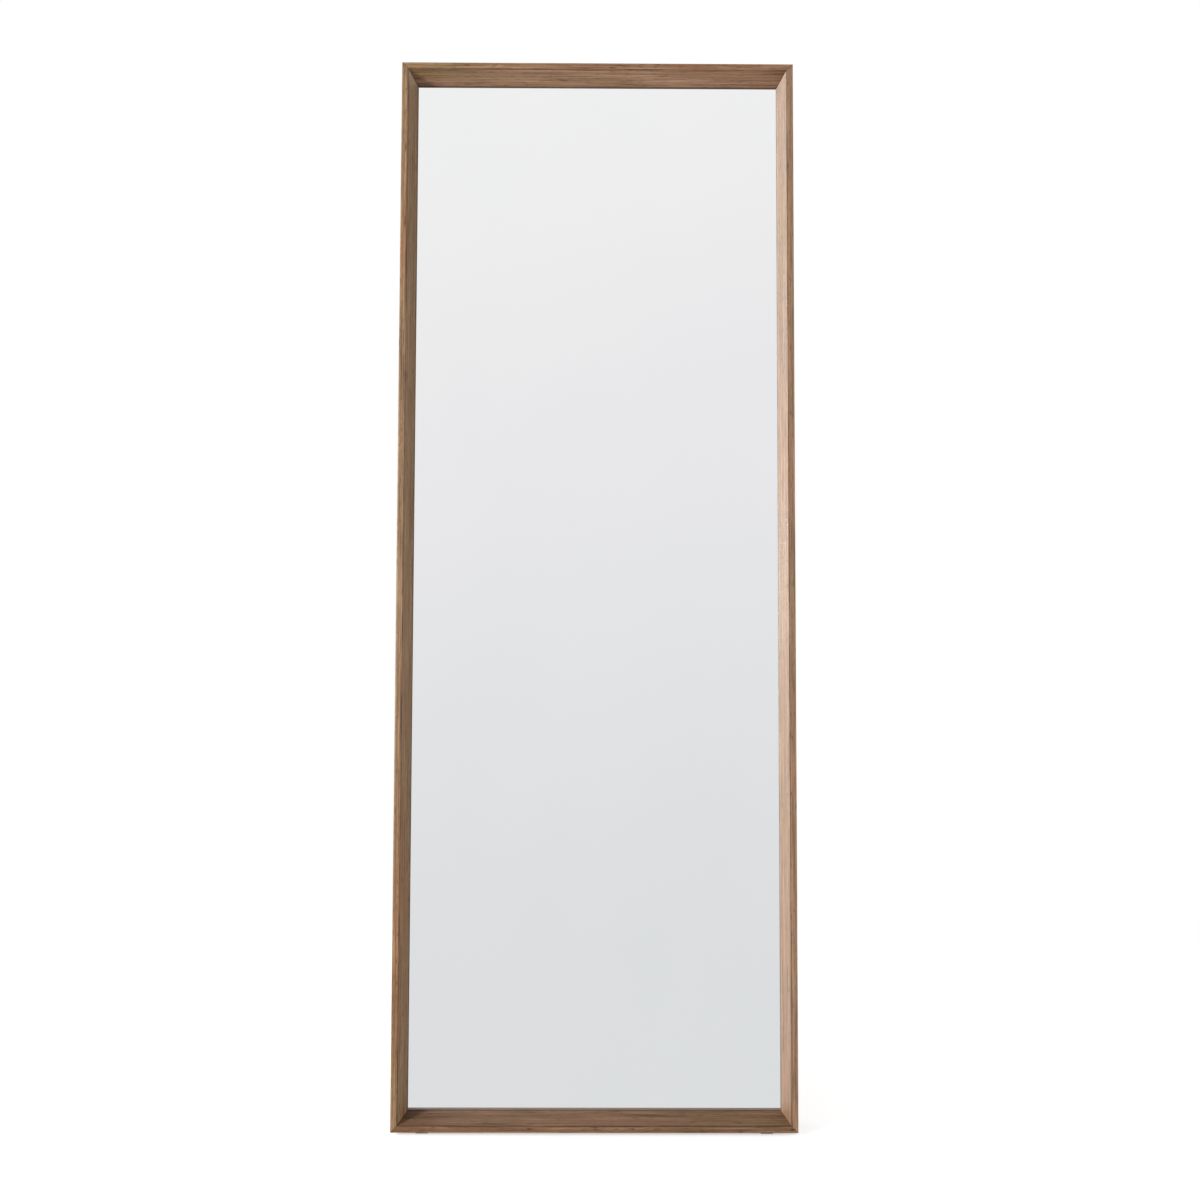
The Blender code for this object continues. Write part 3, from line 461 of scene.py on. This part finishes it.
def card_material():
    """Grey-brown packing card with short fibres."""
    made, graph = new_graph("grey_card")
    fibres = graph.noise(graph.scaled(graph.position(), (900, 900, 300)), 3.0, 0.7)
    base = graph.mix(graph.step(fibres, 0.35, 0.7), colour(0.40, 0.31, 0.21), colour(0.52, 0.42, 0.30))
    return finish_material(made, graph, {
        "Base Color": base,
        "Roughness": 0.9,
        "Normal": graph.bump(fibres, 0.1 * MM, 0.6),
    })


# ---- metal and rubber ----

def metal_material(name, shine, dull, bright, stretch, roughness):
    """Plated metal, brushed along one way, with dull patches and bright worn edges."""
    made, graph = new_graph(name)
    brushed = graph.noise(graph.scaled(graph.position(), stretch), 3.0, 0.6)
    patches = graph.noise(graph.scaled(graph.position(), (70, 70, 70)), 4.0, 0.6)
    base = graph.mix(graph.step(patches, 0.42, 0.72, 0.0, 0.55), shine, dull)
    base = graph.mix(graph.step(brushed, 0.3, 0.7, 0.0, 0.25), base, bright)
    base = graph.mix(graph.maths("MULTIPLY", graph.edges(0.5 * MM), 0.6), base, bright)
    spread = graph.maths("ADD", graph.step(patches, 0.3, 0.7, -0.03, 0.07), roughness)
    spread = graph.maths("ADD", spread, graph.step(brushed, 0.25, 0.75, -0.06, 0.06))
    return finish_material(made, graph, {
        "Base Color": base,
        "Roughness": spread,
        "Metallic": 1.0,
        "Normal": graph.bump(brushed, 0.03 * MM, 0.5),
    })


def rubber_material():
    """Black moulded rubber with a fine grain and pale dust."""
    made, graph = new_graph("moulded_rubber")
    grain = graph.noise(graph.scaled(graph.position(), (1600, 1600, 1600)), 2.0)
    dust = graph.noise(graph.scaled(graph.position(), (120, 120, 120)), 4.0, 0.6)
    dusty = graph.step(dust, 0.5, 0.75, 0.0, 0.35)
    base = graph.mix(dusty, colour(0.026, 0.025, 0.024), colour(0.17, 0.16, 0.145))
    base = graph.mix(graph.maths("MULTIPLY", graph.edges(0.8 * MM), 0.4), base, colour(0.10, 0.095, 0.09))
    return finish_material(made, graph, {
        "Base Color": base,
        "Roughness": graph.step(dust, 0.3, 0.7, 0.62, 0.85),
        "Normal": graph.bump(grain, 0.08 * MM, 0.5),
    })


def finish_rest():
    put_on(mirror_material(), "mirror_glass")
    put_on(hardboard_material(), "backboard")
    put_on(card_material(), "cushion_sheet")
    steel = metal_material(
        "brushed_steel", colour(0.43, 0.42, 0.40), colour(0.29, 0.28, 0.26), colour(0.64, 0.63, 0.61),
        (40, 1500, 1500), 0.36,
    )
    zinc = metal_material(
        "zinc_plate", colour(0.50, 0.46, 0.36), colour(0.34, 0.31, 0.25), colour(0.70, 0.67, 0.58),
        (700, 700, 700), 0.30,
    )
    rubber = rubber_material()
    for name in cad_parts:
        if "screw" in name:
            put_on(zinc, name)
        elif "leaf" in name or "pin" in name or "plate" in name:
            put_on(steel, name)
        elif "glide" in name or "pad" in name:
            put_on(rubber, name)


# ---- strap ----

def rounded(before, corner, after, radius):
    """Points of the arc that rounds a corner of a line, in the plane of the line."""
    towards, onwards = (before - corner).normalized(), (after - corner).normalized()
    half = towards.angle(onwards) / 2
    centre = corner + (towards + onwards).normalized() * radius / math.sin(half)
    start = corner + towards * radius / math.tan(half) - centre
    end = corner + onwards * radius / math.tan(half) - centre
    turn, sweep = start.cross(end).normalized(), start.angle(end)
    turns = [Matrix.Rotation(sweep * i / BEND_STEPS, 3, turn) for i in range(BEND_STEPS + 1)]
    return [centre + matrix @ start for matrix in turns]


def strap_corners():
    """Ends and bends of the strap's middle line, from the plates that clamp it."""
    reach = STRAP_TAB / 2
    low, high = box_in(BOARD, "front_clamp_plate")
    y, z = low.y - GAP - STRAP_THICKNESS / 2, (low.z + high.z) / 2
    front = [BOARD @ Vector((0, y, z + reach)), BOARD @ Vector((0, y, z - reach - STRAP_BEND))]
    low, high = box_in(STAND, "rear_clamp_plate")
    y, z = high.y + GAP + STRAP_THICKNESS / 2, (low.z + high.z) / 2
    rear = [STAND @ Vector((0, y, z + reach + STRAP_BEND)), STAND @ Vector((0, y, z - reach))]
    return front + rear


def strap_line(corners):
    """The strap's middle line at even steps, as rows of points."""
    points = [corners[0]]
    for before, corner, after in zip(corners, corners[1:], corners[2:]):
        points += rounded(before, corner, after, STRAP_BEND)
    points = np.array([*points, corners[-1]])
    run = np.concatenate([[0], np.cumsum(np.linalg.norm(np.diff(points, axis=0), axis=1))])
    stops = np.linspace(0, run[-1], round(run[-1] / STRAP_ROW) + 1)
    return stops, np.column_stack([np.interp(stops, run, points[:, i]) for i in range(3)])


def build_strap(material):
    """Herringbone webbing with rounded selvedges, bent between the mirror and the stand."""
    corners = strap_corners()
    stops, line = strap_line(corners)
    along = np.gradient(line, axis=0)
    along /= np.linalg.norm(along, axis=1)[:, None]
    out = np.cross((1, 0, 0), along)
    x = np.linspace(-1, 1, STRAP_COLUMNS + 1) * STRAP_WIDTH / 2
    edge = np.clip((STRAP_WIDTH / 2 - np.abs(x)) / SELVEDGE, 0, 1)
    swell = SELVEDGE_LEAST + (1 - SELVEDGE_LEAST) * (1 - (1 - edge) ** 2)
    body = (STRAP_THICKNESS / 2 - RELIEF) * np.sqrt(swell)
    zigzag = 2 * np.abs(x / CHEVRON_WIDTH - np.floor(x / CHEVRON_WIDTH + 0.5))
    rings = []
    for stop, point, normal in zip(stops, line, out):
        phase = math.tau * (stop / WEFT_PITCH + CHEVRON_PICKS * zigzag)
        relief = RELIEF * np.sin(phase) * edge
        for side, order in ((1, 1), (-1, -1)):
            half = (side * (body + side * relief))[::order]
            rings.append(point + np.outer(half, normal) + np.outer(x[::order], (1, 0, 0)))
    count = 2 * (STRAP_COLUMNS + 1)
    rows = len(stops)
    faces = [
        (r * count + i, r * count + (i + 1) % count, (r + 1) * count + (i + 1) % count, (r + 1) * count + i)
        for r in range(rows - 1) for i in range(count)
    ]
    faces += [tuple(range(count)), tuple(range((rows - 1) * count, rows * count))]
    mesh = bpy.data.meshes.new("webbing_strap")
    mesh.from_pydata(np.concatenate(rings).tolist(), [], faces)
    bm = bmesh.new()
    bm.from_mesh(mesh)
    bmesh.ops.recalc_face_normals(bm, faces=bm.faces)
    bm.to_mesh(mesh)
    bm.free()
    mesh.shade_smooth()
    mesh.materials.append(material)
    strap = bpy.data.objects.new("webbing_strap", mesh)
    bpy.context.scene.collection.objects.link(strap)
    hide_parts("stay_strap")
    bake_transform(strap)


def webbing_material():
    """Dark cotton webbing: fine yarns, fuzz and dusty ridges."""
    made, graph = new_graph("herringbone_webbing")
    yarn = graph.noise(graph.scaled(graph.position(), (900, 3000, 3000)), 2.0)
    dust = graph.noise(graph.scaled(graph.position(), (90, 90, 90)), 3.0)
    base = graph.mix(graph.step(yarn, 0.3, 0.7), colour(0.034, 0.031, 0.028), colour(0.085, 0.078, 0.068))
    base = graph.mix(graph.step(dust, 0.5, 0.8, 0.0, 0.3), base, colour(0.16, 0.15, 0.13))
    return finish_material(made, graph, {
        "Base Color": base,
        "Roughness": 0.92,
        "Sheen Weight": 0.35,
        "Sheen Roughness": 0.5,
        "Normal": graph.bump(yarn, 0.08 * MM, 0.8),
    })


# ---- studio ----

def build_camera():
    data = bpy.data.cameras.new("camera")
    data.lens = LENS
    data.sensor_width = SENSOR
    camera = bpy.data.objects.new("camera", data)
    camera.location = CAMERA_PLACE
    camera.rotation_euler = [math.radians(angle) for angle in CAMERA_TURN]
    bpy.context.scene.collection.objects.link(camera)
    bpy.context.scene.camera = camera


def add_light(name, target, azimuth, elevation, distance, size, power):
    """A square area light that faces the target, and which the camera doesn't see."""
    data = bpy.data.lights.new(name, "AREA")
    data.shape = "SQUARE"
    data.size = size
    data.energy = power
    light = bpy.data.objects.new(name, data)
    turn, rise = math.radians(azimuth), math.radians(elevation)
    away = Vector((-math.sin(turn) * math.cos(rise), -math.cos(turn) * math.cos(rise), math.sin(rise)))
    light.location = target + away * distance
    light.rotation_euler = (-away).to_track_quat("-Z", "Y").to_euler()
    light.visible_camera = False
    bpy.context.scene.collection.objects.link(light)
    return light


def build_world():
    """A white room to the eye.

    In reflections its front wall shades from pale at the top to light grey, with a bright window on the
    left and a dark card on the right. As soft light it is dimmer above and below.
    """
    world = bpy.data.worlds.new("studio")
    world.use_nodes = True
    bpy.context.scene.world = world
    graph = Graph(world.node_tree)
    x, y, z = graph.split(graph.add("TexCoord", {}, "Generated"))
    height = graph.maths("SUBTRACT", z, graph.maths("MULTIPLY", x, 0.2))
    low = graph.step(height, -0.13, 0.08)
    wall = graph.mix(low, colour(0.770, 0.785, 0.795), colour(0.812, 0.824, 0.838))
    wall = graph.mix(graph.step(height, 0.03, 0.22), wall, colour(0.872, 0.866, 0.884))
    wall = graph.mix(graph.step(height, 0.18, 0.46), wall, colour(0.935, 0.935, 0.935))
    room = graph.mix(graph.step(y, -0.15, 0.35), wall, colour(0.95, 0.95, 0.95))

    def dimmed(amount):
        grey = graph.add("CombineColor", {0: amount, 1: amount, 2: amount})
        return graph.mix(1.0, room, grey, "MULTIPLY")

    card = graph.maths("MULTIPLY", graph.step(x, 0.18, 0.32), graph.step(x, 0.62, 0.80, 1.0, 0.0))
    card = graph.maths("MULTIPLY", card, graph.step(y, -0.15, 0.0, 1.0, 0.0))
    card = graph.maths("MULTIPLY", card, graph.step(z, -0.5, -0.25))
    bright = graph.step(z, -0.1, 0.45, *LEFT_WALL)
    window = graph.add("MapRange", {0: graph.step(x, -0.25, -0.50), 3: 1.0, 4: bright})
    mirrored = graph.maths("MULTIPLY", graph.step(card, 0.0, 1.0, 1.0, DARK_CARD), window)
    mirrored = graph.maths("MULTIPLY", mirrored, graph.step(z, 0.5, 0.75, 1.0, MIRRORED_CEILING))
    walls = graph.step(z, -0.35, 0.05, GROUND * FILL, FILL)
    fill = graph.maths("MULTIPLY", walls, graph.step(z, 0.3, 0.65, 1.0, FILL_CEILING))
    light = graph.mix(graph.add("LightPath", {}, "Is Diffuse Ray"), dimmed(mirrored), dimmed(fill))
    light = graph.mix(graph.add("LightPath", {}, "Is Camera Ray"), light, colour(1.0, 1.0, 1.0))
    graph.add("OutputWorld", {"Surface": graph.add("Background", {"Color": light, "Strength": 1.0})})


def build_floor():
    """A pale floor that is solid round the mirror and fades into the white room."""
    bm = bmesh.new()
    bmesh.ops.create_circle(bm, cap_ends=True, segments=FLOOR_SEGMENTS, radius=FLOOR_RADIUS)
    mesh = bpy.data.meshes.new("floor")
    bm.to_mesh(mesh)
    bm.free()
    floor = bpy.data.objects.new("floor", mesh)
    bpy.context.scene.collection.objects.link(floor)
    made, graph = new_graph("pale_floor")
    away = graph.add("VectorMath", {0: graph.position()}, "Value", operation="LENGTH")
    fade = graph.step(away, FLOOR_SOLID, FLOOR_RADIUS, 0.0, 1.0)
    paint = graph.add("BsdfDiffuse", {"Color": colour(0.86, 0.86, 0.86)})
    glow = graph.add("Emission", {"Color": colour(1.0, 1.0, 1.0), "Strength": FLOOR_GLOW})
    lit = graph.add("AddShader", {0: paint, 1: glow})
    clear = graph.add("BsdfTransparent", {})
    graph.add("OutputMaterial", {"Surface": graph.add("MixShader", {0: fade, 1: lit, 2: clear})})
    mesh.materials.append(made)
    floor.visible_glossy = False
    floor.visible_diffuse = False


def build_studio():
    bpy.context.scene.view_settings.view_transform = "Standard"
    middle = BOARD @ ((BOARD_LOW + BOARD_HIGH) / 2)
    build_world()
    build_floor()
    add_light("key", middle, *KEY_LIGHT)
    side = add_light("side", middle, *SIDE_LIGHT)
    back = add_light("back", middle, *BACK_LIGHT)
    side.visible_glossy = back.visible_glossy = False


build_camera()
build_studio()
finish_wood()
finish_rest()
build_strap(webbing_material())

# Seen in the glass, the top rail would make a dark band along the top of it
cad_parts["top_rail"].visible_glossy = False
